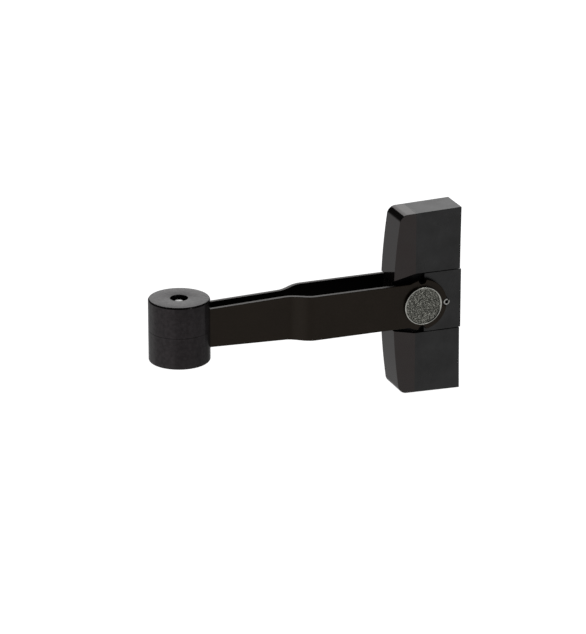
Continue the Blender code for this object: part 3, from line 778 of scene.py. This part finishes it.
def make_springs():
    """The two coil springs between the slide and the screws' heads."""
    radius, wire, turns, steps = 2.15 * MM, 0.175 * MM, 2.5, 100
    start, end = PIVOT.x + 13.475 * MM, PIVOT.x + 16.425 * MM
    for side, z in (("upper", GUIDE_Z), ("lower", -GUIDE_Z)):
        data = bpy.data.curves.new(f"wire_{side}", "CURVE")
        data.dimensions = "3D"
        data.bevel_depth = wire
        data.bevel_resolution = 4
        data.use_fill_caps = True
        line = data.splines.new("POLY")
        line.points.add(steps)
        for i, point in enumerate(line.points):
            turn = 2 * math.pi * turns * i / steps
            along = start + (end - start) * i / steps
            point.co = (along, radius * math.cos(turn), z + radius * math.sin(turn), 1.0)
        guide = link(bpy.data.objects.new(f"wire_{side}", data))
        bpy.context.view_layer.update()
        seen = guide.evaluated_get(bpy.context.evaluated_depsgraph_get())
        mesh = bpy.data.meshes.new_from_object(seen)
        bpy.data.objects.remove(guide, do_unlink=True)
        spring = link(bpy.data.objects.new(f"detent_spring_{side}_skin", mesh))
        mesh.shade_smooth()
        mesh.materials.append(ZINC)
        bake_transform(spring)
        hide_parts(f"detent_spring_{side}")


# Stage


def make_stage():
    """A white floor just under the object, which its glossy faces don't mirror."""
    half_size, gap = 6.0, 0.4 * MM
    shape = bmesh.new()
    bmesh.ops.create_grid(shape, x_segments=1, y_segments=1, size=half_size)
    floor = object_from("floor", shape)
    floor.location = (0, 0, CAD_BOX[0].z - gap)
    made = bpy.data.materials.new("pale_floor")
    made.use_nodes = True
    shader = made.node_tree.nodes["Principled BSDF"]
    shader.inputs["Base Color"].default_value = (0.9, 0.9, 0.9, 1.0)
    shader.inputs["Roughness"].default_value = 0.9
    shader.inputs["Specular IOR Level"].default_value = 0.0
    shader.inputs["Emission Color"].default_value = (1.0, 1.0, 1.0, 1.0)
    shader.inputs["Emission Strength"].default_value = 1.0
    floor.data.materials.append(made)
    floor.visible_glossy = False


def softbox(name, direction, distance, width, height, glow):
    """A flat light that faces the object, as bright for its size as glow says."""
    data = bpy.data.lights.new(name, "AREA")
    data.shape = "RECTANGLE"
    data.size, data.size_y = width, height
    data.energy = glow * math.pi * width * height
    lamp = link(bpy.data.objects.new(name, data))
    lamp.location = Vector(direction).normalized() * distance
    lamp.rotation_euler = Vector(direction).to_track_quat("Z", "Y").to_euler()


def make_light():
    """Light from below the horizon and dark above it, with a softbox behind and a small one in front.

    The low light is stronger in front and to the left, and weaker to the right.
    """
    low_front, low_back, more_left, less_right, everywhere = 0.62, 0.34, 0.34, -0.20, 0.025
    scene = bpy.context.scene
    world = bpy.data.worlds.new("studio")
    world.use_nodes = True
    tree = world.node_tree
    sky = tree.nodes["Background"]
    place = tree.nodes.new("ShaderNodeTexCoord")
    split = node_of(tree, "ShaderNodeSeparateXYZ")
    tree.links.new(place.outputs["Generated"], split.inputs["Vector"])

    def fade(axis, start, end):
        """From 0 to 1 as the direction's share along an axis goes from start to end."""
        made = node_of(tree, "ShaderNodeMapRange", interpolation_type="SMOOTHSTEP")
        made.inputs["From Min"].default_value = start
        made.inputs["From Max"].default_value = end
        tree.links.new(split.outputs[axis], made.inputs["Value"])
        return made.outputs["Result"]

    def times_plus(first, second, third):
        made = node_of(tree, "ShaderNodeMath", operation="MULTIPLY_ADD")
        for slot, value in zip(made.inputs, (first, second, third)):
            if isinstance(value, float):
                slot.default_value = value
            else:
                tree.links.new(value, slot)
        return made.outputs["Value"]

    around = spread(tree, fade("Y", -0.4, 0.5), low_front, low_back)
    around = times_plus(fade("X", -0.35, -0.70), more_left, around)
    around = times_plus(fade("X", 0.40, 0.90), less_right, around)
    strength = times_plus(fade("Z", 0.12, -0.15), around, everywhere)
    tree.links.new(strength, sky.inputs["Strength"])
    sky.inputs["Color"].default_value = (1.0, 1.0, 1.0, 1.0)
    scene.world = world
    scene.view_settings.view_transform = "Standard"
    softbox("back_softbox", (0.37, 0.86, 0.42), distance=1.2, width=0.98, height=0.70, glow=1.3)
    softbox("front_softbox", (0.35, -0.82, 0.5), distance=1.2, width=0.3, height=0.3, glow=4.0)


def make_camera():
    azimuth, elevation, distance = math.radians(-20.93), math.radians(20.22), 1.720
    before_pivot, below_axis = 57.18 * MM, 1.66 * MM
    aim = Vector((PIVOT.x - before_pivot, 0.0, -below_axis))
    level = math.cos(elevation)
    back = Vector((math.sin(azimuth) * level, -math.cos(azimuth) * level, math.sin(elevation)))
    data = bpy.data.cameras.new("camera")
    data.sensor_width = 36.0
    data.lens = 222.7
    data.clip_start, data.clip_end = 0.01, 20.0
    camera = link(bpy.data.objects.new("camera", data))
    camera.location = aim + back * distance
    camera.rotation_euler = back.to_track_quat("Z", "Y").to_euler()
    bpy.context.scene.camera = camera


make_camera()
make_light()
make_stage()
make_fork()
make_buffer()
make_clamp_screw()
make_clamp_nut()
make_rivet()
make_tail_washer()
make_dog()
make_slide()
make_pin()
make_guide_screws()
make_springs()
for hidden, skin in (
    ("clamp_washer", DARK_ZINC),
    ("eye_sleeve", ZINC),
    ("pivot_bush", BRONZE),
    ("thrust_washer_near", NYLON),
    ("thrust_washer_far", NYLON),
):
    coat(frame["nodes"][hidden], skin)
